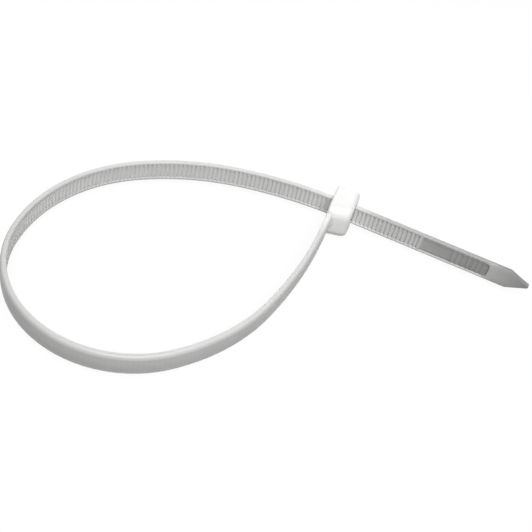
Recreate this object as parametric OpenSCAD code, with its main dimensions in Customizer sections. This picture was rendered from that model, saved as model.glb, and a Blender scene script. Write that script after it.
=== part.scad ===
// Nylon cable tie, closed into a loop and lying on its edge.
//
// The slot through the head runs along X, the strap leaves the head towards -Y and comes
// back through the slot towards +X. Z is across the strap, and the head's lower side is at
// z = 0. Angles along the strap are headings in plan, and every bend turns clockwise.

/* [Strap] */
// Width of the strap
strap_w = 4.8; // [4.2:0.1:6]
// Thickness of the strap over its side rails
strap_t = 1.3; // [1.15:0.05:1.6]
// Length of the strap from the head's front face to the tip
strap_len = 231.3; // [228:0.1:260]
// Rounding of the strap's long edges on its toothed side
edge_r = 0.25; // [0.1:0.05:0.35]
// Rounding of the strap's long edges on its smooth outer side
outer_r = 0.45; // [0.2:0.05:0.7]

/* [Rack] */
// Distance between two teeth
tooth_pitch = 0.96; // [0.8:0.02:1.3]
// Height of a tooth over the floor of the rack
tooth_h = 0.45; // [0.3:0.05:0.6]
// How far the steep face of a tooth leans along the strap
tooth_lean = 0.12; // [0.06:0.02:0.2]
// Flat land on top of a tooth
tooth_land = 0.2; // [0.1:0.05:0.3]
// How far the teeth stay below the rails
tooth_drop = 0.08; // [0.04:0.02:0.2]
// Width of each side rail beside the teeth
rail_w = 0.6; // [0.5:0.05:1.1]
// Length of plain strap between the head and the first tooth
plain_root = 21; // [8:0.5:24]

/* [Tail end] */
// Length of the pointed tip
tip_len = 4.6; // [3:0.2:8]
// Width of the tip's blunt end
tip_w = 0.6; // [0.5:0.05:2]
// Rounding of the corners at the tip's end
tip_r = 0.25; // [0.15:0.05:0.35]
// Flat strap between the grip panel and the pointed tip
flat_len = 4.5; // [3:0.1:8]
// Length of the sunk grip panel
panel_len = 15.7; // [10:0.1:20]
// Length of the slope that leads from the bar down to the panel's floor
panel_slope = 0.6; // [0.2:0.1:1]
// Width of the sunk grip panel
panel_w = 3.6; // [2.4:0.1:3.8]
// Depth of the grip panel
panel_depth = 0.35; // [0.2:0.05:0.5]
// Bar that is left between the last tooth and the panel
panel_bar = 0.4; // [0.3:0.1:1.5]
// Rounding of the panel's corners at the tip end
panel_r = 0.9; // [0.2:0.1:1.2]
// Number of ribs that the fingers grip
rib_count = 7; // [0:1:9]
// Distance between two grip ribs
rib_pitch = 1.15; // [0.9:0.05:1.6]
// Width of a grip rib
rib_w = 0.5; // [0.3:0.05:0.8]
// Height of a grip rib over the panel's floor
rib_h = 0.25; // [0.1:0.05:0.35]

/* [Head] */
// Width of the head, along Z
head_w = 8.2; // [7.4:0.1:10]
// Depth of the head along its slot
head_t = 5.3; // [5:0.05:7]
// Distance from the slot's middle to the front face, at the strap's root
head_front = 6.3; // [5.8:0.1:7.5]
// Slant of the front face, which makes the head shorter at its exit
front_slant = 12.5; // [6:0.5:16]
// Wall behind the slot
back_wall = 1.4; // [0.8:0.05:1.8]
// How much the shoulders fall back from the front face
shoulder_back = 1.4; // [0.8:0.1:2]
// How much each shoulder takes off the width of the front face
shoulder_drop = 1.7; // [1:0.1:2.2]
// Rounding of the shoulders
shoulder_r = 2.4; // [0.4:0.1:2.4]
// Rounding of the exit face's corners
exit_r = 1.1; // [0.4:0.05:1.2]
// Rounding of the corner between the front face and the entry face
entry_r = 0.3; // [0.2:0.05:0.4]
// Rounding of the head's other edges
head_r = 0.6; // [0.3:0.05:0.9]
// How far the entry face stands past the strap's inner face
entry_lip = 0.06; // [0:0.02:0.4]
// Rounding between the root of the strap and the front face
root_r = 0.8; // [0.3:0.1:1.4]
// Rounding of the neck, where the edges of the strap flare into the shoulders
neck_r = 2.8; // [1:0.1:3.2]

/* [Slot and pawl] */
// Clearance on each face of the strap in the slot
slot_gap = 0.4; // [0.3:0.05:0.55]
// Clearance on each edge of the strap in the slot
slot_side_gap = 0.2; // [0.1:0.05:0.4]
// Bevel round the slot's mouth, where the tip goes in
mouth_bevel = 0.3; // [0.1:0.05:0.45]
// Length of the pawl from its hinge to its free end
pawl_len = 4.2; // [3.4:0.1:4.4]
// How far the pawl's free end stays inside the exit face
pawl_inset = 0.1; // [0:0.05:0.3]
// Thickness of the pawl behind its teeth
pawl_t = 1.2; // [0.8:0.05:1.4]
// Thickness of the film that the pawl hinges on
hinge_t = 0.55; // [0.35:0.05:0.8]
// Number of teeth on the pawl
pawl_teeth = 3; // [2:1:3]
// Clearance between the teeth of the pawl and those of the rack
mesh_gap = 0.07; // [0.04:0.01:0.1]
// Clearance on each side of the pawl
pawl_side_gap = 0.3; // [0.2:0.05:0.5]
// Room behind the pawl, for it to spring back
pawl_room = 0.9; // [0.6:0.1:1.1]

/* [Loop] */
// Straight strap in front of the head
root_run = 3.6; // [2:0.1:6]
// Angle at which the tail leans off the slot, towards the root
tail_lean = 4; // [3:0.5:5]
// Turn of the first bend
turn_a = 15; // [13:0.5:17]
// Radius of the first bend
radius_a = 103; // [95:1:110]
// Turn of the second bend
turn_b = 32; // [29:0.5:34]
// Radius of the second bend
radius_b = 42.5; // [38:0.5:48]
// Turn of the third bend, the tightest
turn_c = 127; // [122:0.5:130]
// Turn of the fourth bend
turn_d = 57.5; // [54:0.5:60]
// Turn of the fifth bend
turn_e = 26; // [24:0.5:28]
// Radius of the fifth bend
radius_e = 51.5; // [46:0.5:56]
// Radius of the last bend, which ends in the slot
radius_f = 83; // [78:1:90]

/* [Hidden] */

// Rounded edges and bends
$fn = 144;
// How far one solid reaches into another that it is part of
bury = 0.2;
// How far the root of a tooth lies under the floor of the rack
tooth_sink = 0.05;
// A length that reaches past the head on every side
past = 40;
// Every other stretch of the strap is this much fuller all round, and laps over its neighbours
lap_step = 0.01;

mid_z = head_w / 2;
half_t = strap_t / 2;
half_w = strap_w / 2;
rack_w = strap_w - 2 * rail_w;
floor_u = -half_t + tooth_drop + tooth_h;
tip_u = -half_t + tooth_drop;

head_x0 = -head_t / 2;
head_x1 = head_t / 2;
head_y1 = half_t + slot_gap + back_wall;
root_x = head_x0 + entry_lip + half_t;

// The two middle radii follow from the others, so that the loop always closes in the slot
turn_f = 270 + tail_lean - turn_a - turn_b - turn_c - turn_d - turn_e;
turns = [turn_a, turn_b, turn_c, turn_d, turn_e, turn_f];
function total(list, count) = count <= 0 ? 0 : list[count - 1] + total(list, count - 1);
headings = [for (i = [0:6]) -90 - total(turns, i)];
function chord(i) = let (h0 = headings[i], h1 = headings[i + 1]) [sin(h0) - sin(h1), cos(h1) - cos(h0)];
loop_start = [root_x, -head_front - root_run];
left_over = -loop_start - radius_a * chord(0) - radius_b * chord(1) - radius_e * chord(4) - radius_f * chord(5);
radius_c = cross(left_over, chord(3)) / cross(chord(2), chord(3));
radius_d = cross(chord(2), left_over) / cross(chord(2), chord(3));
radii = [radius_a, radius_b, radius_c, radius_d, radius_e, radius_f];

// A station is [x, y, heading, distance from the head's front face]
function straight_on(p, len) = [p[0] + len * cos(p[2]), p[1] + len * sin(p[2]), p[2], p[3] + len];
function turn_on(p, r, turn) =
    [p[0] + r * (sin(p[2]) - sin(p[2] - turn)), p[1] + r * (cos(p[2] - turn) - cos(p[2])),
     p[2] - turn, p[3] + r * turn * PI / 180];
stations = [for (i = 0, p = [loop_start.x, loop_start.y, -90, root_run]; i <= 6;
                 p = i < 6 ? turn_on(p, radii[i], turns[i]) : p, i = i + 1) p];
slot_station = stations[6];

// The station at a distance along the strap, and the point beside it, outwards for a positive u
function bend_at(s, i = 0) = i >= 5 || s < stations[i + 1][3] ? i : bend_at(s, i + 1);
function station(s) =
    s >= slot_station[3] ? straight_on(slot_station, s - slot_station[3]) :
    let (i = bend_at(s)) turn_on(stations[i], radii[i], (s - stations[i][3]) / radii[i] * 180 / PI);
function beside(s, u) = let (p = station(s)) [p[0] - u * sin(p[2]), p[1] + u * cos(p[2])];

tip_s = strap_len;
panel_s1 = tip_s - tip_len - flat_len;
panel_s0 = panel_s1 - panel_len;
tooth_count = floor((panel_s0 - panel_bar - plain_root) / tooth_pitch);
rack_s1 = panel_s0 - panel_bar;
rack_s0 = rack_s1 - tooth_count * tooth_pitch;

// A convex outline with round corners: points run counterclockwise, with one radius each
module rounded_outline(points, r) {
    n = len(points);
    unit = function (v) v / norm(v);
    side = function (i) unit(points[(i + 1) % n] - points[i % n]);
    inward = function (d) [-d.y, d.x];
    n_in = [for (i = [0:n - 1]) inward(side(i + n - 1))];
    n_out = [for (i = [0:n - 1]) inward(side(i))];
    centres = [for (i = [0:n - 1]) points[i] + r[i] * (n_in[i] + n_out[i]) / (1 + n_in[i] * n_out[i])];
    polygon([for (i = [0:n - 1]) each [centres[i] - r[i] * n_in[i], centres[i] - r[i] * n_out[i]]]);
    for (i = [0:n - 1])
        if (r[i] > 0)
            translate(centres[i])
                circle(r[i]);
}

// Section of the strap: u outwards, then z, with the teeth's channel on the inner side
module plain_section(full = 0) {
    u = half_t + full;
    v = half_w + full;
    rounded_outline([[-u, -v], [u, -v], [u, v], [-u, v]], [edge_r, outer_r, outer_r, edge_r]);
}

module rack_section(full = 0) {
    difference() {
        plain_section(full);
        translate([-half_t - bury, full - rack_w / 2])
            square([bury + half_t + floor_u - full, rack_w - 2 * full]);
    }
}

// A stretch starts at a station, and laps over its neighbours by its reach
module straight(p, len, reach = 0) {
    start = straight_on(p, -reach);
    translate([start[0], start[1], mid_z])
        rotate([90, 0, 90 + p[2]])
            linear_extrude(len + 2 * reach)
                children();
}

module bend(p, r, turn, reach = 0) {
    lap = reach / r * 180 / PI;
    translate([p[0] + r * sin(p[2]), p[1] - r * cos(p[2]), mid_z])
        rotate(p[2] + 90 - turn - lap)
            rotate_extrude(angle = turn + 2 * lap)
                translate([r, 0])
                    children();
}

// The loop, from inside the head round to the middle of the slot
module loop() {
    first = stations[0];
    plain_turn = (rack_s0 - root_run) / radius_a * 180 / PI;
    straight(straight_on(first, -root_run - bury), root_run + bury)
        plain_section();
    bend(first, radius_a, plain_turn, bury)
        plain_section(lap_step);
    bend(station(rack_s0), radius_a, turn_a - plain_turn)
        rack_section();
    for (i = [1, 3, 5])
        bend(stations[i], radii[i], turns[i], bury)
            rack_section(lap_step);
    for (i = [2, 4])
        bend(stations[i], radii[i], turns[i])
            rack_section();
}

// Teeth: steep towards the root, easy towards the tip
module teeth() {
    root_u = floor_u + tooth_sink;
    back_u = floor_u + bury;
    crests = [for (i = [0:tooth_count - 1]) let (s = rack_s0 + i * tooth_pitch, crest_s = s + tooth_lean)
        each [beside(s, root_u), beside(crest_s, tip_u), beside(crest_s + tooth_land, tip_u)]];
    backs = [for (i = [tooth_count:-1:0]) beside(rack_s0 + i * tooth_pitch, back_u)];
    translate([0, 0, mid_z - rack_w / 2 - bury / 2])
        linear_extrude(rack_w + bury)
            polygon(concat(crests, [beside(rack_s1, root_u)], backs));
}

// Outline of the tail end from the side, with x from the end of the rack
module tail_outline() {
    len = tip_s - rack_s1;
    half = half_w + lap_step;
    rounded_outline([[-half, -half], [len - tip_len, -half], [len, -tip_w / 2], [len, tip_w / 2],
                     [len - tip_len, half], [-half, half]],
                    [0, edge_r, tip_r, tip_r, edge_r, 0]);
}

module tail() {
    len = tip_s - rack_s1;
    straight(slot_station, rack_s1 - slot_station[3])
        rack_section();
    end = station(rack_s1);
    difference() {
        intersection() {
            straight(straight_on(end, -bury), len + bury)
                plain_section(lap_step);
            translate([end[0], end[1], mid_z])
                rotate(end[2])
                    rotate([90, 0, 0])
                        linear_extrude(strap_w, center = true)
                            tail_outline();
        }
        translate([end[0], end[1], mid_z])
            rotate(end[2])
                grip_panel();
    }
}

// What the grip panel takes out of the tail's inner face, with its ribs left standing
module grip_panel() {
    half = panel_w / 2;
    x1 = panel_bar + panel_len;
    floor_y = -half_t + panel_depth;
    top_y = -half_t - bury;
    difference() {
        intersection() {
            translate([0, floor_y + bury, 0])
                rotate([90, 0, 0])
                    linear_extrude(panel_depth + 3 * bury)
                        rounded_outline([[0, -half], [x1, -half], [x1, half], [0, half]],
                                        [0, panel_r, panel_r, 0]);
            translate([0, 0, -half - bury])
                linear_extrude(panel_w + 2 * bury)
                    polygon([[panel_bar - panel_slope / panel_depth * bury, top_y], [x1 + bury, top_y],
                             [x1 + bury, floor_y], [panel_bar + panel_slope, floor_y]]);
        }
        for (i = [1:rib_count])
            translate([x1 - i * rib_pitch - rib_w / 2, floor_y - rib_h, -half - bury])
                cube([rib_w, rib_h + bury, panel_w + 2 * bury]);
    }
}

// The head's solid form is what four outlines have in common
module head_form() {
    front_x = root_x + half_t;
    front_at = function (x) -head_front + (x - front_x) * tan(front_slant);
    half = head_w / 2;
    intersection() {
        linear_extrude(head_w)
            rounded_outline([[head_x0, front_at(head_x0)], [head_x1, front_at(head_x1)],
                             [head_x1, head_y1], [head_x0, head_y1]],
                            [entry_r, exit_r, head_r, head_r]);
        translate([front_x, -head_front, half])
            rotate(front_slant)
                rotate([90, 0, 90])
                    linear_extrude(past, center = true)
                        rounded_outline([[0, shoulder_drop - half], [shoulder_back, -half], [past, -half],
                                         [past, half], [shoulder_back, half], [0, half - shoulder_drop]],
                                        [shoulder_r, shoulder_r, 0, 0, shoulder_r, shoulder_r]);
        rotate([90, 0, 0])
            linear_extrude(past, center = true)
                rounded_outline([[head_x0, 0], [head_x1, 0], [head_x1, head_w], [head_x0, head_w]],
                                [head_r, exit_r, exit_r, head_r]);
        translate([0, 0, half])
            rotate([90, 0, 90])
                linear_extrude(past, center = true)
                    rounded_outline([[-past, -half], [head_y1, -half], [head_y1, half], [-past, half]],
                                    [0, head_r, head_r, 0]);
    }
}

// The fillet where the strap's outer face runs into the front face
module root_fillet() {
    corner = [root_x + half_t, -head_front];
    reach = root_r / tan((90 + front_slant) / 2);
    on_strap = corner - [0, reach];
    on_face = corner + reach * [cos(front_slant), sin(front_slant)];
    translate([0, 0, mid_z - half_w + outer_r])
        linear_extrude(strap_w - 2 * outer_r)
            difference() {
                polygon([on_strap, on_strap - [bury, 0], corner + [-bury, bury], on_face + [0, bury], on_face]);
                translate(on_strap + [root_r, 0])
                    circle(root_r);
            }
}

// The flares by which the strap's two edges run up into the shoulders, thinner than the strap
module neck() {
    slope = [shoulder_back, shoulder_drop] / norm([shoulder_back, shoulder_drop]);
    run_back = (half_w - head_w / 2 + shoulder_drop) * shoulder_back / shoulder_drop;
    corner = [run_back - head_front + lap_step, half_w - lap_step];
    reach = neck_r * tan(atan2(slope.y, slope.x) / 2);
    on_strap = corner - [reach, 0];
    on_shoulder = corner + reach * slope;
    for (side = [0, 1])
        translate([root_x, 0, mid_z])
            mirror([0, 0, side])
                rotate([90, 0, 90])
                    linear_extrude(strap_t - 2 * edge_r, center = true)
                        difference() {
                            polygon([on_strap, on_strap - [0, bury], corner + [reach, -bury],
                                     on_shoulder + bury * [slope.y, -slope.x], on_shoulder]);
                            translate(on_strap + [0, neck_r])
                                circle(neck_r);
                        }
}

// The slot, with a bevelled mouth on the entry side
module slot() {
    half_h = half_t + slot_gap;
    half_z = half_w + slot_side_gap;
    translate([head_x0 - bury, -half_h, mid_z - half_z])
        cube([head_t + 2 * bury, 2 * half_h, 2 * half_z]);
    translate([0, 0, mid_z - half_z])
        linear_extrude(2 * half_z)
            polygon([[head_x0 - bury, -half_h - mouth_bevel - bury], [head_x0 + mouth_bevel, -half_h],
                     [head_x0 + mouth_bevel, half_h], [head_x0 - bury, half_h + mouth_bevel + bury]]);
}

// Pawl and its room are drawn along the strap, whose teeth they face
pawl_x1 = head_x1 - pawl_inset;
pawl_x0 = pawl_x1 - pawl_len;
pawl_y1 = tip_u - mesh_gap;
pawl_y0 = pawl_y1 - pawl_t;
pawl_w = rack_w - 2 * mesh_gap;
hinge_y1 = pawl_y1 - bury;

module pawl_pocket() {
    half_z = pawl_w / 2 + pawl_side_gap;
    translate([0, 0, mid_z - half_z])
        linear_extrude(2 * half_z)
            polygon([[pawl_x0, -half_t], [pawl_x0 + hinge_t, pawl_y0 - pawl_room],
                     [head_x1 + 2 * bury, pawl_y0 - pawl_room], [head_x1 + 2 * bury, -half_t]]);
}

module pawl() {
    phase = (slot_station[3] - rack_s0) % tooth_pitch;
    last = floor((pawl_x1 + phase) / tooth_pitch);
    roots = [for (k = [last - pawl_teeth:last - 1]) k * tooth_pitch - phase];
    gap_u = floor_u - mesh_gap;
    translate([0, 0, mid_z - pawl_w / 2])
        linear_extrude(pawl_w)
            polygon(concat(
                [[pawl_x0 - bury, hinge_y1 - hinge_t], [pawl_x0 + 2 * hinge_t, pawl_y0],
                 [pawl_x1, pawl_y0], [pawl_x1, pawl_y1]],
                [for (i = [pawl_teeth - 1:-1:0]) let (x0 = roots[i], x1 = x0 + tooth_pitch - mesh_gap)
                    each [[x1 + tooth_lean, pawl_y1], [x1, gap_u], [x1 - tooth_land / 2, gap_u],
                          [x0 + tooth_lean + tooth_land + 2 * mesh_gap, pawl_y1]]],
                [[pawl_x0 - bury, hinge_y1]]));
}

module head() {
    difference() {
        head_form();
        slot();
        rotate(-tail_lean)
            pawl_pocket();
    }
    rotate(-tail_lean)
        pawl();
    root_fillet();
    neck();
}

module cable_tie() {
    color("whitesmoke") {
        head();
        loop();
        tail();
        teeth();
    }
}

cable_tie();
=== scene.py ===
"""Looks of a natural nylon cable tie that is closed into a loop and lies on its edge."""

import math

import bpy
import numpy as np
from mathutils import Matrix, Vector


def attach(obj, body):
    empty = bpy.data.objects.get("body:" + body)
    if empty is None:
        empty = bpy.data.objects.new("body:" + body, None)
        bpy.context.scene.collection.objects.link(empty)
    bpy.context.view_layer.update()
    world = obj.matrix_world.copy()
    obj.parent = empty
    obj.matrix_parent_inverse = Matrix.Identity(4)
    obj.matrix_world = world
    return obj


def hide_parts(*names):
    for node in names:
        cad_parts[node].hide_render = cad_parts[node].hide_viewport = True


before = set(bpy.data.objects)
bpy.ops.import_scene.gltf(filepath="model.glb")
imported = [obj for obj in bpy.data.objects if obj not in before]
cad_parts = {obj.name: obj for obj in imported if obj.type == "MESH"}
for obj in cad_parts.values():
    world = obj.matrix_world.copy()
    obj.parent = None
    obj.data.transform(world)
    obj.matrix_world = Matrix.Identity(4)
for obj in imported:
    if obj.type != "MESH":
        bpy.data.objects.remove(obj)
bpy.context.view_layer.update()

bl_info = {
    "name": "Nylon cable tie",
    "version": (1, 0, 0),
    "blender": (4, 5, 0),
    "location": "View3D > Sidebar > Cable tie",
    "description": "Dresses the packed cable tie in moulded nylon and sets its stage",
    "category": "Object",
}

MM = 0.001

# Sizes of the tie that its properties don't hold, in mm and degrees
ROOT_RUN, TAIL_LEAN = 3.6, 4.0
BEND_TURNS = (15.0, 32.0, 127.0, 57.5, 26.0)
BEND_RADII = (103.0, 42.5, None, None, 51.5, 83.0)
OUTER_R, EDGE_R, RAIL_W, PLAIN_ROOT = 0.45, 0.25, 0.6, 21.0
TOOTH_DROP, TOOTH_LEAN, TOOTH_LAND = 0.08, 0.12, 0.2
TIP_W, TIP_R, FLAT_LEN = 0.6, 0.25, 4.5
PANEL_LEN, PANEL_SLOPE, PANEL_W, PANEL_DEPTH, PANEL_BAR, PANEL_R = 15.7, 0.6, 3.6, 0.35, 0.4, 0.9
RIBS, RIB_PITCH, RIB_W = 7, 1.15, 0.5
FRONT_SLANT, BACK_WALL, SHOULDER_BACK, SHOULDER_DROP = 12.5, 1.4, 1.4, 1.7
SHOULDER_R, EXIT_R, ENTRY_R, HEAD_R, ENTRY_LIP, ROOT_R, NECK_R = 2.4, 1.1, 0.3, 0.6, 0.06, 0.8, 2.8
SHOULDER_SLOPE = math.atan2(SHOULDER_DROP, SHOULDER_BACK)
FRONT_TURN = math.radians(90 - FRONT_SLANT)
SLOT_GAP, SLOT_SIDE_GAP, MOUTH_BEVEL = 0.4, 0.2, 0.3
PAWL_LEN, PAWL_INSET, PAWL_T, HINGE_T, PAWL_TEETH = 4.2, 0.1, 1.2, 0.55, 3
MESH_GAP, PAWL_SIDE_GAP, PAWL_ROOM, HINGE_SET = 0.07, 0.3, 0.9, 0.2

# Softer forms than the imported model's, as the photograph shows them: how far the outer rounding reaches over
# the width, the outer face's crown and the length over which it rises, the channel walls' lean per depth and
# the ribs' height; the channel's lip, the softened corners along and across the strap, and its sharp steps;
# shares of the panel's depth at its slope's ends, of the half width at the walls' feet, and the pawl's bevel
OUTER_SPREAD, CROWN, CROWN_RUN, WALL_DRAFT, LOW_DRAFT, RIB_H = 1.2, 0.08, 6.0, 0.6, 0.05, 0.12
LIP, SOFT, WALL_SOFT, CREASE = 0.04, 0.035, 0.03, 0.02
SLOPE_ENDS, UPPER_FOOT, LOWER_FOOT, PAWL_BEVEL = (0.08, 0.95), 0.96, 0.98, 0.03

# The most that the outer rounding, the inner rounding, the channel and its lip take of the narrowing tip, and
# how far the tip's end is rounded and thinned
OUTER_MOST, INNER_MOST, CHANNEL_MOST, LIP_MOST = 0.8, 0.6, 0.9, 0.45
TIP_ROUND, TIP_THIN = 0.85, 0.25

# Angles in degrees beyond which an edge stays sharp
STRAP_SHARP, HEAD_SHARP, CUT_SHARP = 70, 35, 30

# How close the strap's sections stand, in mm, and how many columns or rows each rounding has. Then the same
# for the head's rings, with the least radius of their corners and how far the slot's cutters reach past it
ROOT_REACH, ROOT_STEP, PLAIN_STEP, PANEL_STEP, FLAT_LEAD, TIP_STEP = 1.5, 0.1, 0.7, 0.6, 0.5, 0.3
FACE_SHARES, FLOOR_SHARES = (0, 0.25, 0.5, 0.75), (0.66, 0.33, 0)
OUTER_COLUMNS, EDGE_COLUMNS, TURN_ROWS, TIP_ROWS = 7, 5, 8, 7
HEAD_STEP, FACE_RINGS, CORNER_POINTS, LEAST_R, CUT_PAST = 0.4, 10, 9, 0.05, 0.4

# Painted shade and light on the strap: how grey each part is, as a share of the look's strap grey, and what
# the loop's far end adds. The upper wall, though shaded, is left white as painted light, the lit lower wall
# gets painted shade, and each face a tone for how light falls on it; the far end adds painted light on the
# rack and low rail and painted shade on the face and edges. Then the painted light taken from it in the
# teeth's gaps, on the low rail and near the head; the painted shade that the panel, the tail and the tip's
# edge add; and the painted shade that the flat, the edge and the inner side of the upper rail add past the
# slot
PAINTED_PART_SHADES = {"upper_wall": (0.0, 0.0), "lower_wall": (1.32, 0.0), "flat": (0.65, 0.0), "rack": (0.78, -0.45),
         "channel": (0.65, 0.0), "low_rail": (1.0, -0.2), "edge": (0.9, 0.25), "high_rail": (0.75, 0.0),
         "face": (1.22, 0.2)}
GAP_PAINTED_LIGHT, LOW_RAIL_PAINTED_LIGHT, HEAD_PAINTED_LIGHT = 0.3, 0.8, 0.45
PANEL_PAINTED_SHADE, TAIL_PAINTED_SHADE, TIP_EDGE_PAINTED_SHADE = (0, 0.75, 1.05, 0), (0, 0.08, 0.2, 0.45, 0.6, 1.4), 1.8
PAST_SLOT_PAINTED_SHADE = (0, 0.45, 0.3)

# Where that painted shade and light begin and end, in mm: at the root, at the loop's far end, on either side
# of the slot, past the slot, before the rack's end, across the two walls of the channel, and down into the
# panel
ROOT_FADE, FAR_END, NEAR_SLOT, PAST_SLOT, TAIL_START = (1, 6), (50, 80, 105, 135), (2, 10), (2, 8), (25, 12)
UPPER_REACH, LOWER_REACH, PANEL_REACH, TOUCHING = 0.18, 0.1, 0.06, 0.001

# The nylon's fine unevenness: noise scales per metre, and how far they move the grey and the roughness
HAZE_SCALE, SKIN_SCALE, FLOW_SCALE = 140.0, 2600.0, 520.0
HAZE_GREY, FLOW_ROUGHNESS, SKIN_SHARE, BUMP_STRENGTH, BUMP_HEIGHT = 0.08, 0.12, 0.35, 0.12, 0.00004
SMOKY, SCATTER_SCALE, NYLON_IOR = 0.3, 0.0014, 1.53

# The lamps' places from the camera's target, and their size, in metres
KEY_PLACE, BACK_PLACE, LAMP_SIZE = (0.11, -0.26, 0.46), (-0.15, 0.45, 0.2), 0.4


# Shader expressions

class Shade:
    """A socket's value in a material's node tree, on which Python's operators add Math nodes."""

    def __init__(self, tree, socket):
        self.tree = tree
        self.socket = socket

    def math(self, operation, *others):
        """One Math node, with this value first."""
        return node(self.tree, "ShaderNodeMath", {"operation": operation}, dict(enumerate((self, *others))))

    def __add__(self, other):
        return self.math("ADD", other)

    def __sub__(self, other):
        return self.math("SUBTRACT", other)

    def __mul__(self, other):
        return self.math("MULTIPLY", other)

    def __radd__(self, other):
        return self + other

    def __rmul__(self, other):
        return self * other

    def __rsub__(self, other):
        return self * -1 + other


def node(tree, kind, settings, inputs, output=0):
    """Adds a node of any kind: its settings first, then the values or links of its sockets."""
    made = tree.nodes.new(kind)
    for key, value in settings.items():
        setattr(made, key, value)
    for key, value in inputs.items():
        socket = made.inputs[key]
        if isinstance(value, Shade):
            tree.links.new(value.socket, socket)
        else:
            socket.default_value = value
    return Shade(tree, made.outputs[output])


def blank(name):
    """A new material with an empty tree and its output node."""
    material = bpy.data.materials.new(name)
    material.use_nodes = True
    material.node_tree.nodes.clear()
    output = material.node_tree.nodes.new("ShaderNodeOutputMaterial")
    return material, material.node_tree, output


def nylon(look):
    """Milky natural nylon, which all pieces share: light goes a little way in, the mould left a fine satin
    skin, and the strap's attributes paint shade and light into its grey: its thin parts are painted greyer
    than the solid head for the light that passes through them, with painted shade and light by part."""
    if "moulded_nylon" in bpy.data.materials:
        return bpy.data.materials["moulded_nylon"]
    material, tree, output = blank("moulded_nylon")
    place = node(tree, "ShaderNodeTexCoord", {}, {}, "Object")
    haze, skin, flow = (
        node(tree, "ShaderNodeTexNoise", {}, {"Vector": place, "Scale": scale, "Detail": detail}, "Fac")
        for scale, detail in ((HAZE_SCALE, 3.0), (SKIN_SCALE, 2.0), (FLOW_SCALE, 1.0)))
    grey = (haze - 0.5) * HAZE_GREY
    # Painted shade and light: each strap attribute darkens or lightens the one nylon's grey for how light
    # falls or passes through there
    for field, share in (("thin", look.strap_grey), ("panel", look.panel_grey), ("tail", look.tail_grey),
                         ("ripple", look.ripple_grey)):
        grey = grey + node(tree, "ShaderNodeAttribute", {"attribute_name": field}, {}, "Fac") * share
    pale = [*look.nylon_colour[:3], 1.0]
    smoky = [c * SMOKY for c in look.nylon_colour[:3]] + [1.0]
    base = node(tree, "ShaderNodeMix", {"data_type": "RGBA", "clamp_factor": True},
                {"Factor": grey, 6: pale, 7: smoky}, 2)
    rough = look.nylon_roughness + (flow - 0.5) * FLOW_ROUGHNESS
    height = skin * SKIN_SHARE + flow * (1 - SKIN_SHARE)
    bump = node(tree, "ShaderNodeBump", {},
                {"Strength": BUMP_STRENGTH, "Distance": BUMP_HEIGHT, "Height": height})
    shader = node(tree, "ShaderNodeBsdfPrincipled", {"subsurface_method": "RANDOM_WALK"},
                  {"Base Color": base, "Roughness": rough, "Normal": bump, "IOR": NYLON_IOR,
                   "Subsurface Weight": look.milkiness, "Subsurface Radius": (1.0, 1.0, 1.0),
                   "Subsurface Scale": SCATTER_SCALE, "Subsurface Anisotropy": 0.0})
    tree.links.new(shader.socket, output.inputs["Surface"])
    return material


def seen_or_mirrored(tree):
    """1 for a ray from the camera, or one that a glossy or clear surface sends on, and 0 for the rest."""
    kinds = [node(tree, "ShaderNodeLightPath", {}, {}, f"Is {kind} Ray")
             for kind in ("Camera", "Glossy", "Transmission")]
    return kinds[0].math("MAXIMUM", kinds[1]).math("MAXIMUM", kinds[2])


def table_top(look):
    """A white table: the camera sees it near white with the object's soft shadow, and it throws back less
    light from below than it shows."""
    material, tree, output = blank("white_table")
    seen = seen_or_mirrored(tree)
    tone = node(tree, "ShaderNodeMix", {"data_type": "RGBA"},
                {"Factor": seen, 6: (*[look.table_tone] * 3, 1.0), 7: (1.0, 1.0, 1.0, 1.0)}, 2)
    lit = node(tree, "ShaderNodeBsdfDiffuse", {}, {"Color": tone})
    white = node(tree, "ShaderNodeEmission", {}, {"Color": (1.0, 1.0, 1.0, 1.0), "Strength": 1.0})
    mixed = node(tree, "ShaderNodeMixShader", {}, {0: seen * look.table_glow, 1: lit, 2: white})
    tree.links.new(mixed.socket, output.inputs["Surface"])
    material.cycles.emission_sampling = "NONE"
    return material


def white_room(sky):
    """A room that the camera and reflections see white, and that gives a dimmer even light."""
    world = bpy.data.worlds.new("white_room")
    world.use_nodes = True
    tree = world.node_tree
    strength = seen_or_mirrored(tree) * (1 - sky) + sky
    background = tree.nodes["Background"]
    background.inputs["Color"].default_value = (1.0, 1.0, 1.0, 1.0)
    tree.links.new(strength.socket, background.inputs["Strength"])
    return world


# The strap's route and section, with all lengths in mm

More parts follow.
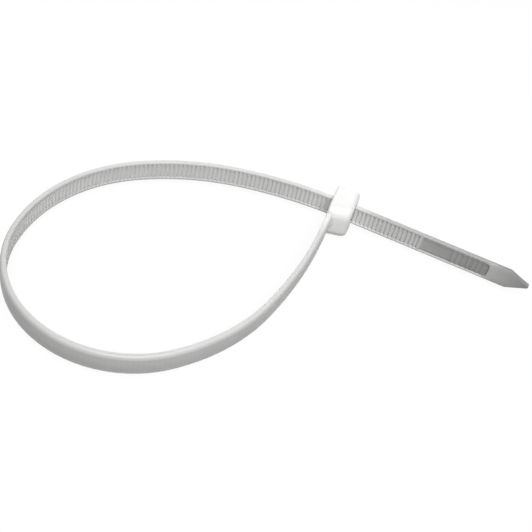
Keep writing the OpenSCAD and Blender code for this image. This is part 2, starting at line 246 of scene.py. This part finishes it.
def route(size):
    """The strap's middle line in plan, as a function from distances along it to x, y and heading.

    It leaves the head towards -Y, turns clockwise through six bends and runs straight on through the slot.
    On a bend of curvature k the heading h grows evenly, and a point lies at the start plus
    ((sin h - sin h0) / k, (cos h0 - cos h) / k). The two middle radii are those that end the last bend
    in the middle of the slot.
    """
    turns = np.radians(BEND_TURNS)
    turns = np.append(turns, math.radians(270 + TAIL_LEAN) - turns.sum())
    headings = -math.pi / 2 - np.append(0.0, np.cumsum(turns))
    chords = np.c_[np.sin(headings[:-1]) - np.sin(headings[1:]), np.cos(headings[1:]) - np.cos(headings[:-1])]
    start = np.array([size["root_x"], -size["head_front"] - ROOT_RUN])
    radii = np.array(BEND_RADII, float)
    known = np.isfinite(radii)
    radii[~known] = np.linalg.solve(chords[~known].T, -start - radii[known] @ chords[known])
    lengths = np.concatenate([[ROOT_RUN], radii * turns])
    begins = np.append(0.0, np.cumsum(lengths))
    bends = np.concatenate([[1e-9], -1 / radii, [1e-9]])
    h0 = np.concatenate([[headings[0]], headings])
    corners = np.concatenate([[start + [0, ROOT_RUN]], start + np.append([[0.0, 0.0]], np.cumsum(
        radii[:, None] * chords, axis=0), axis=0)])

    def at(s):
        i = np.clip(np.searchsorted(begins, s, side="right") - 1, 0, len(bends) - 1)
        h = h0[i] + bends[i] * (s - begins[i])
        x = corners[i, 0] + (np.sin(h) - np.sin(h0[i])) / bends[i]
        y = corners[i, 1] - (np.cos(h) - np.cos(h0[i])) / bends[i]
        return x, y, h

    return at, begins[-1]


def steps(start, stop, longest):
    """Evenly spaced values from start up to stop, no further apart than the longest step."""
    return np.linspace(start, stop, max(2, math.ceil((stop - start) / longest) + 1))[:-1]


def fillet_span(radius, turn):
    """From where to where a fillet runs, as distances along the strap, that leaves its line by a turn."""
    reach = radius * math.tan(turn / 2)
    return reach - radius * math.sin(turn), reach


def strap_rows(size):
    """Where the strap's sections stand, as distances from the head's front face, with each one's depth of
    channel below the rails: steep then easy for a tooth, a slope into the panel, and ribs on its floor.
    Then where the rack and the panel begin and end."""
    floor, crest = size["tooth_h"] + TOOTH_DROP, TOOTH_DROP
    tip = size["strap_len"]
    point0 = tip - size["tip_len"]
    panel1 = point0 - FLAT_LEN
    panel0 = panel1 - PANEL_LEN
    rack1 = panel0 - PANEL_BAR
    teeth = int((rack1 - PLAIN_ROOT) // size["tooth_pitch"])
    rack0 = rack1 - teeth * size["tooth_pitch"]
    fillets = [fillet_span(NECK_R, SHOULDER_SLOPE)[0], fillet_span(ROOT_R, FRONT_TURN)[0]]
    root = np.union1d(steps(-ROOT_REACH, ROOT_REACH, ROOT_STEP), fillets)
    rows = [(s, 0.0) for s in (*root, *steps(ROOT_REACH, rack0 - CREASE, PLAIN_STEP), rack0 - CREASE)]
    steep, land = TOOTH_LEAN, TOOTH_LEAN + TOOTH_LAND
    tooth = ((CREASE / 2, floor), (steep - CREASE / 2, crest + SOFT), (steep + SOFT, crest),
             (land - SOFT, crest), (land + 2 * SOFT, crest + SOFT),
             (size["tooth_pitch"] - 2 * SOFT, floor - SOFT))
    for i in range(teeth):
        rows += [(rack0 + i * size["tooth_pitch"] + s, depth) for s, depth in tooth]
    rows += [(rack1, floor), (rack1 + WALL_SOFT, SOFT), (rack1 + 2 * SOFT, 0.0), (panel0 - SOFT, 0.0)]
    rows += [(panel0 + SOFT, PANEL_DEPTH * SLOPE_ENDS[0]),
             (panel0 + PANEL_SLOPE - SOFT, PANEL_DEPTH * SLOPE_ENDS[1])]
    ribs = panel1 - RIB_PITCH * np.arange(RIBS, 0, -1)
    rows += [(s, PANEL_DEPTH) for s in steps(panel0 + PANEL_SLOPE + SOFT, ribs[0] - RIB_W, PANEL_STEP)]
    half, top = RIB_W / 2, PANEL_DEPTH - RIB_H
    for s in ribs:
        rows += [(s - half - SOFT, PANEL_DEPTH), (s - half + SOFT, top + SOFT), (s - half + 2 * SOFT, top),
                 (s + half - 2 * SOFT, top), (s + half - SOFT, top + SOFT), (s + half + SOFT, PANEL_DEPTH)]
    turn = panel1 - PANEL_R * (1 - np.sin(np.linspace(0.1, math.pi / 2, TURN_ROWS))) - CREASE
    rows += [(s, PANEL_DEPTH) for s in turn[turn > rows[-1][0]]]
    rows += [(panel1 + CREASE, CREASE), (panel1 + 2.5 * CREASE, 0.0)]
    rows += [(s, 0.0) for s in steps(panel1 + FLAT_LEAD, point0 - ROOT_STEP, PLAIN_STEP)]
    rows += [(s, 0.0) for s in steps(point0 - ROOT_STEP, tip - TIP_R, TIP_STEP)]
    rows += [(tip - TIP_R * (1 - math.sin(t)), 0.0) for t in np.linspace(0, math.pi / 2, TIP_ROWS)]
    s, depth = np.array(rows).T
    return s, depth, (rack0, rack1, panel0, panel1)


def strap_section(size, s, depth, marks):
    """Columns (u outwards, z up) of the strap's sections, with the channel's half width at its lip and at the
    foot of its upper wall.

    Half of a section, from the middle of the smooth outer face to the middle of the channel's floor, is a
    list of straight runs and quarter circles, and z mirrors it. The half width flares by a part of a circle
    where the strap leaves the head, and narrows evenly over the pointed tip. At the share f of its half width
    the outer face stands out by the root's fillet times 1 - f^2, less the crown times f^2. The channel's
    upper wall leans inwards with its depth, while the lower wall, which catches the light, is steep.
    """
    rack1, panel0, panel1 = marks[1:]
    half_t, half_w, tip = size["strap_t"] / 2, size["strap_w"] / 2, size["strap_len"]
    end = np.clip((s - tip + TIP_R) / TIP_R, 0, 1)
    narrow = np.interp(s, [tip - size["tip_len"], tip], [half_w, TIP_W / 2])
    narrow = narrow - TIP_R * (1 - np.sqrt(1 - end ** 2)) * TIP_ROUND
    flare, root = fillet_span(NECK_R, SHOULDER_SLOPE), fillet_span(ROOT_R, FRONT_TURN)
    width = narrow + NECK_R - np.sqrt(NECK_R ** 2 - (flare[1] - np.clip(s, *flare)) ** 2)
    bulge = ROOT_R - np.sqrt(ROOT_R ** 2 - (root[1] - np.clip(s, *root)) ** 2)
    crown = CROWN * np.clip(s / CROWN_RUN, 0, 1)
    outer_r, spread = np.minimum(OUTER_R, narrow * OUTER_MOST), np.minimum(OUTER_SPREAD, narrow * OUTER_MOST)
    inner_r = np.minimum(EDGE_R, narrow * INNER_MOST)
    turn = np.clip((s - panel1 + PANEL_R) / PANEL_R, 0, 1)
    in_panel = PANEL_W / 2 - PANEL_R * (1 - np.sqrt(1 - turn ** 2))
    channel = np.where(s < (rack1 + panel0) / 2, half_w - RAIL_W, in_panel)
    channel = np.minimum(channel, (narrow - inner_r) * CHANNEL_MOST)
    lip = np.minimum(LIP, (narrow - inner_r - channel) * LIP_MOST)
    soft = np.minimum(WALL_SOFT, depth)
    upper, lower = channel - WALL_DRAFT * depth, channel - LOW_DRAFT * depth
    outer, inner = half_t - crown, np.full_like(s, -half_t)
    columns = [(half_t + bulge * (1 - f ** 2) - crown * f ** 2, (width - spread) * f) for f in FACE_SHARES]
    columns += [(outer - outer_r * (1 - math.cos(a)), width - spread * (1 - math.sin(a)))
                for a in np.linspace(0, math.pi / 2, OUTER_COLUMNS)]
    columns += [((outer - outer_r + inner + inner_r) / 2, width)]
    columns += [(inner + inner_r * (1 - math.sin(a)), width - inner_r * (1 - math.cos(a)))
                for a in np.linspace(0, math.pi / 2, EDGE_COLUMNS)]
    columns += [(inner, channel + 2 * lip), (inner + soft, channel + lip)]
    wall = len(columns)
    columns += [(inner + depth - soft, upper), (inner + depth, upper * UPPER_FOOT)]
    columns += [(inner + depth, channel * f) for f in FLOOR_SHARES]
    u, z = (np.array([column[i] for column in columns]).T for i in (0, 1))
    low = z.copy()
    low[:, wall], low[:, wall + 1] = lower, lower * LOWER_FOOT
    u = u * (1 - TIP_THIN * end ** 2)[:, None]
    return np.c_[u, u[:, -2:0:-1]], np.c_[z, -low[:, -2:0:-1]], channel, upper


def strap_greys(size, s, depth, marks, section, slot):
    """Attributes of the strap's points, which the nylon's grey follows, all of them painted shade and light:
    how thin the strap looks there, painted greyer for the light that passes through it, with painted shade on
    lit parts and painted light on shaded ones; the panel's recessed floor, the tail and its tip; and the
    ripple of the teeth showing through the outer face.

    The ripple is sin(2 pi s / pitch) from the rack's start, and fades from the outer face inwards. The others
    are shares that change evenly between places along the strap, and by part of its section.
    """
    rack0, rack1, panel0, panel1 = marks
    u, z = section[:2]
    s, depth, channel, upper = (value[:, None] for value in (s, depth, *section[2:]))
    half_t = size["strap_t"] / 2
    # The edge begins past the first two columns of the outer rounding, and ends short of the inner one's last
    column = np.arange(u.shape[1] // 2 + 1)
    first, last = len(FACE_SHARES) + 2, len(FACE_SHARES) + OUTER_COLUMNS + EDGE_COLUMNS
    half_edge = (column >= first) & (column < last)
    on_edge = np.r_[half_edge, half_edge[-2:0:-1]]
    inside, in_rack, on_rail = u < 0, (s > rack0) & (s < rack1), np.abs(z) > channel
    in_channel = (np.abs(z) < channel + CREASE) & inside
    corner = (s > panel1 - PANEL_R) & (u < TOUCHING - half_t) & on_rail
    # Parts of the section with their own painted shade or light: the shaded upper wall, the lit lower wall,
    # the edges and the faces
    parts = {
        "upper_wall": (np.abs(z - (channel + upper) / 2) < UPPER_REACH) & inside & (depth > 0),
        "lower_wall": (np.abs(z + channel) < LOWER_REACH) & inside & (depth > 0),
        "flat": (s > panel1) & inside | corner,
        "rack": in_channel & in_rack,
        "channel": in_channel,
        "low_rail": (z < 0) & on_rail & inside & (s > rack0),
        "edge": on_edge,
        "high_rail": (z > 0) & on_rail & inside & (s > rack0),
    }
    # Painted shade that grows along the tail towards its tip
    tail_places = [*(rack1 - before for before in TAIL_START), panel0, panel1, panel1 + 1, size["strap_len"]]
    tail = np.interp(s, tail_places, TAIL_PAINTED_SHADE)
    # At the loop's far end, painted light on the inner rack and low rail, painted shade on the outer face and
    # edges
    far_end = np.interp(s, FAR_END, [0, 1, 1, 0])
    sunk = np.clip((u + half_t) / (TOOTH_DROP + size["tooth_h"]), 0, 1)
    shares = {part: grey + far * far_end for part, (grey, far) in PAINTED_PART_SHADES.items()}
    # Painted light in the teeth's gaps, paler the deeper they lie
    shares["rack"] = shares["rack"] - GAP_PAINTED_LIGHT * sunk
    # Painted light on the low rail, growing with the tail's painted shade
    shares["low_rail"] = shares["low_rail"] - LOW_RAIL_PAINTED_LIGHT * tail
    thin = np.select(list(parts.values()), [shares[part] for part in parts], shares["face"])
    # Painted light on the strap beside the head, for the light that the head scatters onto it
    near_slot = 1 - np.interp(np.abs(s - slot), NEAR_SLOT, [HEAD_PAINTED_LIGHT, 0])
    # Painted shade on the panel's thin, recessed floor, darker towards its far end
    panel_places = [panel0, panel0 + CREASE / 2, panel1 - CREASE / 2, panel1]
    panel = np.interp(s, panel_places, PANEL_PAINTED_SHADE) * np.clip((u + half_t) / PANEL_REACH, 0, 1)
    # Painted shade on the tip's lit upper edge, and none from the tail on the low rail
    low_rail, tip_edge = parts["low_rail"] & ~parts["flat"], on_edge & (s > panel1)
    tail = tail * np.select([low_rail, tip_edge], [0, TIP_EDGE_PAINTED_SHADE], 1)
    # Past the slot, painted shade on the lit upper edge and the upper rail's inner side
    past = np.interp(s - slot, PAST_SLOT, [0, 1]) * (z > channel)
    past = past * np.select([parts["flat"], on_edge, inside], PAST_SLOT_PAINTED_SHADE, 0)
    # Painted shade: a ripple where the teeth show through the thin outer face
    ripple = np.sin((s - rack0) * 2 * math.pi / size["tooth_pitch"]) * np.clip(u / half_t, 0, 1)
    # The painted shade fades in from the root, so the root is as pale as the head and its shaded fillet is
    # lightened
    thin = np.clip((s - ROOT_FADE[0]) / ROOT_FADE[1], 0, 1) * near_slot * thin
    return {"thin": thin, "panel": panel * in_channel, "tail": tail + past, "ripple": ripple * in_rack}


def strap_surface(size):
    """Points of the whole strap, as rows along it and columns round its section, and their attributes.

    A point at u and z of a section stands u to the left of the route's heading h, at x - u sin h and
    y + u cos h.
    """
    s, depth, marks = strap_rows(size)
    section = strap_section(size, s, depth, marks)
    u, z = section[:2]
    at, slot = route(size)
    x, y, h = (value[:, None] for value in at(s))
    points = np.stack([x - u * np.sin(h), y + u * np.cos(h), z + size["head_w"] / 2], axis=-1)
    return points, strap_greys(size, s, depth, marks, section, slot)


# The head's form

def rounded_ring(normals, offsets, radii, count):
    """Points round a convex outline of lines n . p = c, with a round corner between each two lines.

    The corner's centre lies a radius inside both lines, and its points run round it from one line's
    normal to the next one's."""
    points = []
    for i in range(len(offsets)):
        j = (i + 1) % len(offsets)
        centre = np.linalg.solve([normals[i], normals[j]], [offsets[i] - radii[i], offsets[j] - radii[i]])
        a, b = math.atan2(*normals[i][::-1]), math.atan2(*normals[j][::-1])
        turn = a + (b - a) % (2 * math.pi) * np.linspace(0, 1, count)
        points.append(centre + radii[i] * np.c_[np.cos(turn), np.sin(turn)])
    return np.concatenate(points)


def head_surface(size):
    """Points of the head's closed form, as rings across the slot from the entry face to the exit face.

    Each line of a ring's outline moves inwards near a face by r - sqrt(r^2 - d^2), where d is how far the
    ring stands into the rounded edge, and the front lines also fall back with the front face's slant."""
    half_t, half = size["head_t"] / 2, size["head_w"] / 2
    front_x = size["root_x"] + size["strap_t"] / 2
    back = size["strap_t"] / 2 + SLOT_GAP + BACK_WALL
    long = math.hypot(SHOULDER_DROP, SHOULDER_BACK)
    slope = np.array([-SHOULDER_DROP, SHOULDER_BACK]) / long
    normals = np.array([[-1.0, 0.0], slope * [1, -1], [0.0, -1.0], [1.0, 0.0], [0.0, 1.0], slope])
    corner = half - SHOULDER_DROP
    face_r = np.array([[ENTRY_R, EXIT_R], [HEAD_R, EXIT_R], [HEAD_R, EXIT_R], [HEAD_R, HEAD_R],
                       [HEAD_R, EXIT_R], [HEAD_R, EXIT_R]])
    corner_r = np.array([SHOULDER_R, SHOULDER_R, HEAD_R, HEAD_R, SHOULDER_R, SHOULDER_R])
    swing = np.sin(np.linspace(0, math.pi / 2, FACE_RINGS))
    between = steps(-half_t + EXIT_R, half_t - EXIT_R, HEAD_STEP)[1:]
    xs = np.concatenate([-half_t + EXIT_R * (1 - swing[::-1]), between, half_t - EXIT_R * (1 - swing)])
    rings = []
    for x in xs:
        front = -size["head_front"] + (x - front_x) * math.tan(math.radians(FRONT_SLANT))
        lines = np.array([-front, slope @ [front, corner], half, back, half, slope @ [front, corner]])
        inset = np.zeros(6)
        for side, into in ((0, -half_t - x), (1, x - half_t)):
            d = np.clip(face_r[:, side] + into, 0, face_r[:, side])
            inset += face_r[:, side] - np.sqrt(face_r[:, side] ** 2 - d ** 2)
        shrunk = np.maximum(corner_r - np.maximum(inset, np.roll(inset, -1)), LEAST_R)
        ring = rounded_ring(normals, lines - inset, shrunk, CORNER_POINTS)
        rings.append(np.c_[np.full(len(ring), x), ring])
    points = np.array(rings)
    points[..., 2] += half
    return points


def prism(name, outline, low, high):
    """A closed prism over an outline in plan, between two heights, in mm."""
    n = len(outline)
    bottom = np.c_[outline, np.full(n, low)]
    top = np.c_[outline, np.full(n, high)]
    i = np.arange(n)
    sides = np.c_[i, (i + 1) % n, (i + 1) % n + n, i + n]
    mesh = bpy.data.meshes.new(name)
    faces = [*sides.tolist(), list(range(n))[::-1], list(range(n, 2 * n))]
    mesh.from_pydata(np.r_[bottom, top] * MM, [], faces)
    return shown(name, mesh)


def turned(points, angle):
    """Points in plan, turned about the middle of the slot."""
    c, s = math.cos(math.radians(angle)), math.sin(math.radians(angle))
    return np.asarray(points) @ [[c, s], [-s, c]]


def shown(name, data):
    """An object for a mesh, a lamp or a camera, linked into the scene."""
    made = bpy.data.objects.new(name, data)
    bpy.context.scene.collection.objects.link(made)
    return made


def grid_piece(name, points, fields, sharp):
    """A closed piece from rows of rings: quads between rings, and a fan to a middle point at either end. Its
    attributes come from fields over the points, and edges beyond the sharp angle stay sharp."""
    rows, columns = points.shape[:2]
    ends = np.array([points[0].mean(0), points[-1].mean(0)])
    co = np.r_[points.reshape(-1, 3), ends] * MM
    r, c = np.meshgrid(np.arange(rows - 1), np.arange(columns), indexing="ij")
    n = (c + 1) % columns
    quads = np.stack([r * columns + c, r * columns + n, (r + 1) * columns + n, (r + 1) * columns + c], -1)
    c = np.arange(columns)
    n = (c + 1) % columns
    last = (rows - 1) * columns
    first_fan = np.c_[n, c, np.full(columns, rows * columns)]
    last_fan = np.c_[last + c, last + n, np.full(columns, rows * columns + 1)]
    mesh = bpy.data.meshes.new(name)
    mesh.from_pydata(co, [], [*quads.reshape(-1, 4).tolist(), *first_fan.tolist(), *last_fan.tolist()])
    for key, values in fields.items():
        flat = np.r_[np.asarray(values, float).reshape(-1), [np.mean(values[0]), np.mean(values[-1])]]
        attribute = mesh.attributes.new(key, "FLOAT", "POINT")
        attribute.data.foreach_set("value", flat.astype(np.float32))
    mesh.shade_smooth()
    mesh.set_sharp_from_angle(angle=math.radians(sharp))
    return shown(name, mesh)


def slot_outline(size):
    """The slot's outline in plan, with its bevelled mouth on the entry side."""
    x0, x1, h = -size["head_t"] / 2, size["head_t"] / 2, size["strap_t"] / 2 + SLOT_GAP
    mouth = h + MOUTH_BEVEL + CUT_PAST
    return np.array([[x0 - CUT_PAST, -mouth], [x0 + MOUTH_BEVEL, -h], [x1 + CUT_PAST, -h], [x1 + CUT_PAST, h],
                     [x0 + MOUTH_BEVEL, h], [x0 - CUT_PAST, mouth]])


def pawl_outlines(size):
    """Outlines in plan of the pawl and of the room behind it, both turned with the tail.

    The pawl's teeth stand in the rack's gaps: a gap begins wherever the distance along the strap is a
    whole number of pitches, and each tooth stays a small clearance inside it."""
    half_t, pitch = size["strap_t"] / 2, size["tooth_pitch"]
    rack0 = strap_rows(size)[2][0]
    slot_s = route(size)[1]
    floor = -half_t + TOOTH_DROP + size["tooth_h"]
    x1 = size["head_t"] / 2 - PAWL_INSET
    x0 = x1 - PAWL_LEN
    y1 = -half_t + TOOTH_DROP - MESH_GAP
    y0 = y1 - PAWL_T
    phase = (slot_s - rack0) % pitch
    last = math.floor((x1 + phase) / pitch)
    outline = [[x0 - HINGE_SET, y1 - HINGE_SET - HINGE_T], [x0 + 2 * HINGE_T, y0], [x1, y0], [x1, y1]]
    for k in range(last - 1, last - PAWL_TEETH - 1, -1):
        begin = k * pitch - phase
        end = begin + pitch - MESH_GAP
        outline += [[end + TOOTH_LEAN, y1], [end, floor - MESH_GAP], [end - TOOTH_LAND / 2, floor - MESH_GAP],
                    [begin + TOOTH_LEAN + TOOTH_LAND + 2 * MESH_GAP, y1]]
    outline += [[x0 - HINGE_SET, y1 - HINGE_SET]]
    past = size["head_t"] / 2 + CUT_PAST
    room = [[x0, -half_t], [x0 + HINGE_T, y0 - PAWL_ROOM], [past, y0 - PAWL_ROOM], [past, -half_t]]
    return turned(outline, -TAIL_LEAN), turned(room, -TAIL_LEAN)


def settle(piece, modifiers):
    """Adds modifiers to a piece and applies them."""
    for kind, settings in modifiers:
        modifier = piece.modifiers.new(kind.lower(), kind)
        for key, value in settings.items():
            setattr(modifier, key, value)
    bpy.context.view_layer.update()
    mesh = bpy.data.meshes.new_from_object(piece.evaluated_get(bpy.context.evaluated_depsgraph_get()))
    piece.modifiers.clear()
    piece.data = mesh


def wear(piece, material):
    """Gives a piece its material and its body, and hides the CAD node that it stands for."""
    piece.data.materials.clear()
    piece.data.materials.append(material)
    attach(piece, "root")
    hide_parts("cable_tie")


# Sizes and colours that a user would change

class TieLook(bpy.types.PropertyGroup):
    """Finish of the nylon, with the painted shade on the strap, and of the stage."""

    nylon_colour: bpy.props.FloatVectorProperty(
        name="Nylon colour", description="Colour of the natural nylon", subtype="COLOR", size=4,
        min=0.0, max=1.0, default=(0.86, 0.86, 0.85, 1.0))
    nylon_roughness: bpy.props.FloatProperty(
        name="Nylon roughness", description="How satin the mould left the skin", min=0.1, max=0.8,
        default=0.38)
    # Painted shade: the thin strap painted greyer than the head, for the light that passes through it
    strap_grey: bpy.props.FloatProperty(
        name="Strap grey", description="How much greyer the thin strap is than the head", min=0.0, max=1.0,
        default=0.42)
    # Painted shade on the thin, recessed floor of the grip panel
    panel_grey: bpy.props.FloatProperty(
        name="Panel grey", description="How much greyer the thin floor of the grip panel is",
        min=0.0, max=1.0, default=0.4)
    # Painted shade that darkens the tail towards its tip
    tail_grey: bpy.props.FloatProperty(
        name="Tail grey", description="How much greyer the flat tail gets towards its tip", min=0.0, max=1.0,
        default=0.5)
    # Painted shade where the teeth show through the outer face
    ripple_grey: bpy.props.FloatProperty(
        name="Ripple grey", description="How far the teeth show through on the outer face", min=0.0, max=0.2,
        default=0.02)
    milkiness: bpy.props.FloatProperty(
        name="Milkiness", description="Share of the light that goes into the nylon", min=0.0, max=1.0,
        default=0.6)
    table_tone: bpy.props.FloatProperty(
        name="Table tone", description="Tone of the table under the tie", min=0.1, max=1.0, default=0.22)
    table_glow: bpy.props.FloatProperty(
        name="Table glow", description="How far the table is lifted to white in the camera's eye",
        min=0.0, max=1.0, default=0.92)


class TieSizes(bpy.types.PropertyGroup):
    """Main sizes of the tie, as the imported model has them."""

    strap_w: bpy.props.FloatProperty(
        name="Strap width", description="Width of the strap", unit="LENGTH", default=4.8 * MM)
    strap_t: bpy.props.FloatProperty(
        name="Strap thickness", description="Thickness of the strap over its side rails", unit="LENGTH",
        default=1.3 * MM)
    strap_len: bpy.props.FloatProperty(
        name="Strap length", description="Length of the strap from the head to the tip", unit="LENGTH",
        default=231.3 * MM)
    tooth_pitch: bpy.props.FloatProperty(
        name="Tooth pitch", description="Distance between two teeth of the rack", unit="LENGTH",
        default=0.96 * MM)
    tooth_h: bpy.props.FloatProperty(
        name="Tooth height", description="Height of a tooth over the floor of the rack", unit="LENGTH",
        default=0.45 * MM)
    tip_len: bpy.props.FloatProperty(
        name="Tip length", description="Length of the pointed tip", unit="LENGTH", default=4.6 * MM)
    head_w: bpy.props.FloatProperty(
        name="Head width", description="Width of the head across the strap", unit="LENGTH", default=8.2 * MM)
    head_t: bpy.props.FloatProperty(
        name="Head depth", description="Depth of the head along its slot", unit="LENGTH", default=5.3 * MM)
    head_front: bpy.props.FloatProperty(
        name="Head front", description="From the slot's middle to the front face", unit="LENGTH",
        default=6.3 * MM)


def in_mm(sizes):
    """The size properties as plain numbers in mm, with the root's place along X."""
    size = {key: getattr(sizes, key) / MM for key in sizes.__annotations__}
    size["root_x"] = -size["head_t"] / 2 + ENTRY_LIP + size["strap_t"] / 2
    return size


class TieStage(bpy.types.PropertyGroup):
    """Table, lamps and camera."""

    table_size: bpy.props.FloatProperty(
        name="Table size", description="Length of the table's side", unit="LENGTH", default=4.0)
    key_power: bpy.props.FloatProperty(
        name="Key lamp", description="Power of the soft lamp in front and above", subtype="POWER",
        default=3.12)
    back_power: bpy.props.FloatProperty(
        name="Back lamp", description="Power of the weak soft lamp behind", subtype="POWER", default=1.05)
    sky: bpy.props.FloatProperty(
        name="Sky", description="Strength of the even light all round", min=0.0, max=2.0, default=0.16)
    camera_target: bpy.props.FloatVectorProperty(
        name="Camera target", description="Point in the middle of the picture", subtype="TRANSLATION",
        default=(-10.045 * MM, -22.805 * MM, 1.7 * MM))
    camera_azimuth: bpy.props.FloatProperty(
        name="Camera azimuth", description="Angle from the front towards +X", subtype="ANGLE",
        default=math.radians(8.0))
    camera_height: bpy.props.FloatProperty(
        name="Camera elevation", description="Angle over the table", subtype="ANGLE",
        default=math.radians(44.052))
    camera_roll: bpy.props.FloatProperty(
        name="Camera roll", description="Tilt of the picture", subtype="ANGLE", default=math.radians(14.887))
    camera_distance: bpy.props.FloatProperty(
        name="Camera distance", description="From the target to the lens", unit="LENGTH", default=198.17 * MM)
    field_of_view: bpy.props.FloatProperty(
        name="Field of view", description="Angle across the square picture", subtype="ANGLE",
        default=math.radians(30.979))


# Operators

class TIE_OT_strap(bpy.types.Operator):
    """Sweep the strap with its rack of teeth, grip panel and pointed tip"""

    bl_idname = "tie.strap"
    bl_label = "Make the strap"

    def execute(self, context):
        points, fields = strap_surface(in_mm(context.scene.tie_sizes))
        wear(grid_piece("strap", points, fields, STRAP_SHARP), nylon(context.scene.tie_look))
        return {"FINISHED"}


class TIE_OT_head(bpy.types.Operator):
    """Round the head over its slot and the room behind the pawl"""

    bl_idname = "tie.head"
    bl_label = "Make the head"

    def execute(self, context):
        size = in_mm(context.scene.tie_sizes)
        head = grid_piece("head", head_surface(size), {}, HEAD_SHARP)
        middle = size["head_w"] / 2
        half_slot = size["strap_w"] / 2 + SLOT_SIDE_GAP
        half_room = size["strap_w"] / 2 - RAIL_W - MESH_GAP + PAWL_SIDE_GAP
        slot = prism("slot_cutter", slot_outline(size), middle - half_slot, middle + half_slot)
        room = prism("room_cutter", pawl_outlines(size)[1], middle - half_room, middle + half_room)
        settle(head, [("BOOLEAN", {"object": cutter, "solver": "EXACT"}) for cutter in (slot, room)])
        for cutter in (slot, room):
            bpy.data.objects.remove(cutter)
        head.data.set_sharp_from_angle(angle=math.radians(CUT_SHARP))
        wear(head, nylon(context.scene.tie_look))
        return {"FINISHED"}


class TIE_OT_pawl(bpy.types.Operator):
    """Make the toothed pawl on its hinge inside the head, locked in the rack"""

    bl_idname = "tie.pawl"
    bl_label = "Make the pawl"

    def execute(self, context):
        size = in_mm(context.scene.tie_sizes)
        middle = size["head_w"] / 2
        half = size["strap_w"] / 2 - RAIL_W - MESH_GAP
        pawl = prism("pawl", pawl_outlines(size)[0], middle - half, middle + half)
        settle(pawl, [("BEVEL", {"width": PAWL_BEVEL * MM, "segments": 2, "limit_method": "ANGLE"})])
        wear(pawl, nylon(context.scene.tie_look))
        return {"FINISHED"}


def lamp(name, place, target, size, power):
    """A square soft lamp that shines from a place at a target, both in metres."""
    data = bpy.data.lights.new(name, "AREA")
    data.shape = "SQUARE"
    data.size = size
    data.energy = power
    made = shown(name, data)
    turned_away = (place - target).to_track_quat("Z", "Y").to_matrix().to_4x4()
    made.matrix_world = Matrix.Translation(place) @ turned_away


class TIE_OT_stage(bpy.types.Operator):
    """Lay the white table and hang the soft lamps"""

    bl_idname = "tie.stage"
    bl_label = "Set the stage"

    def execute(self, context):
        sizes = context.scene.tie_stage
        half = sizes.table_size / 2
        corners = [(-half, -half, 0), (half, -half, 0), (half, half, 0), (-half, half, 0)]
        mesh = bpy.data.meshes.new("table")
        mesh.from_pydata(corners, [], [(0, 1, 2, 3)])
        mesh.materials.append(table_top(context.scene.tie_look))
        table = shown("table", mesh)
        target = Vector(sizes.camera_target)
        lamp("key_lamp", target + Vector(KEY_PLACE), target, LAMP_SIZE, sizes.key_power)
        lamp("back_lamp", target + Vector(BACK_PLACE), target, LAMP_SIZE, sizes.back_power)
        context.scene.world = white_room(sizes.sky)
        context.scene.view_settings.view_transform = "Standard"
        return {"FINISHED"}


class TIE_OT_camera(bpy.types.Operator):
    """Put the camera where the photograph was taken from"""

    bl_idname = "tie.camera"
    bl_label = "Place the camera"

    def execute(self, context):
        sizes = context.scene.tie_stage
        azimuth, height, roll = sizes.camera_azimuth, sizes.camera_height, sizes.camera_roll
        level_away = Vector((math.sin(azimuth), -math.cos(azimuth), 0.0)) * math.cos(height)
        away = level_away + Vector((0.0, 0.0, math.sin(height)))
        level = Vector((math.cos(azimuth), math.sin(azimuth), 0.0))
        rise = away.cross(level)
        right = level * math.cos(roll) + rise * math.sin(roll)
        up = away.cross(right)
        axes = Matrix((right, up, away)).transposed().to_4x4()
        data = bpy.data.cameras.new("camera")
        data.sensor_fit = "HORIZONTAL"
        data.angle = sizes.field_of_view
        data.clip_start = 0.01
        camera = shown("camera", data)
        place = Vector(sizes.camera_target) + away * sizes.camera_distance
        camera.matrix_world = Matrix.Translation(place) @ axes
        context.scene.camera = camera
        return {"FINISHED"}


class TIE_PT_panel(bpy.types.Panel):
    """Lists what makes the tie's looks"""

    bl_idname = "TIE_PT_panel"
    bl_label = "Cable tie"
    bl_space_type = "VIEW_3D"
    bl_region_type = "UI"
    bl_category = "Cable tie"

    def draw(self, context):
        for group in (context.scene.tie_sizes, context.scene.tie_look, context.scene.tie_stage):
            for key in group.__annotations__:
                self.layout.prop(group, key)
        for operator in OPERATORS:
            self.layout.operator(operator.bl_idname)


OPERATORS = (TIE_OT_strap, TIE_OT_head, TIE_OT_pawl, TIE_OT_stage, TIE_OT_camera)
CLASSES = (TieSizes, TieLook, TieStage, *OPERATORS, TIE_PT_panel)


def register():
    for made in CLASSES:
        bpy.utils.register_class(made)
    bpy.types.Scene.tie_sizes = bpy.props.PointerProperty(type=TieSizes)
    bpy.types.Scene.tie_look = bpy.props.PointerProperty(type=TieLook)
    bpy.types.Scene.tie_stage = bpy.props.PointerProperty(type=TieStage)


def unregister():
    del bpy.types.Scene.tie_stage
    del bpy.types.Scene.tie_look
    del bpy.types.Scene.tie_sizes
    for made in reversed(CLASSES):
        bpy.utils.unregister_class(made)


def main():
    register()
    bpy.ops.tie.strap()
    bpy.ops.tie.head()
    bpy.ops.tie.pawl()
    bpy.ops.tie.stage()
    bpy.ops.tie.camera()
    bpy.context.view_layer.update()


if __name__ == "__main__":
    main()
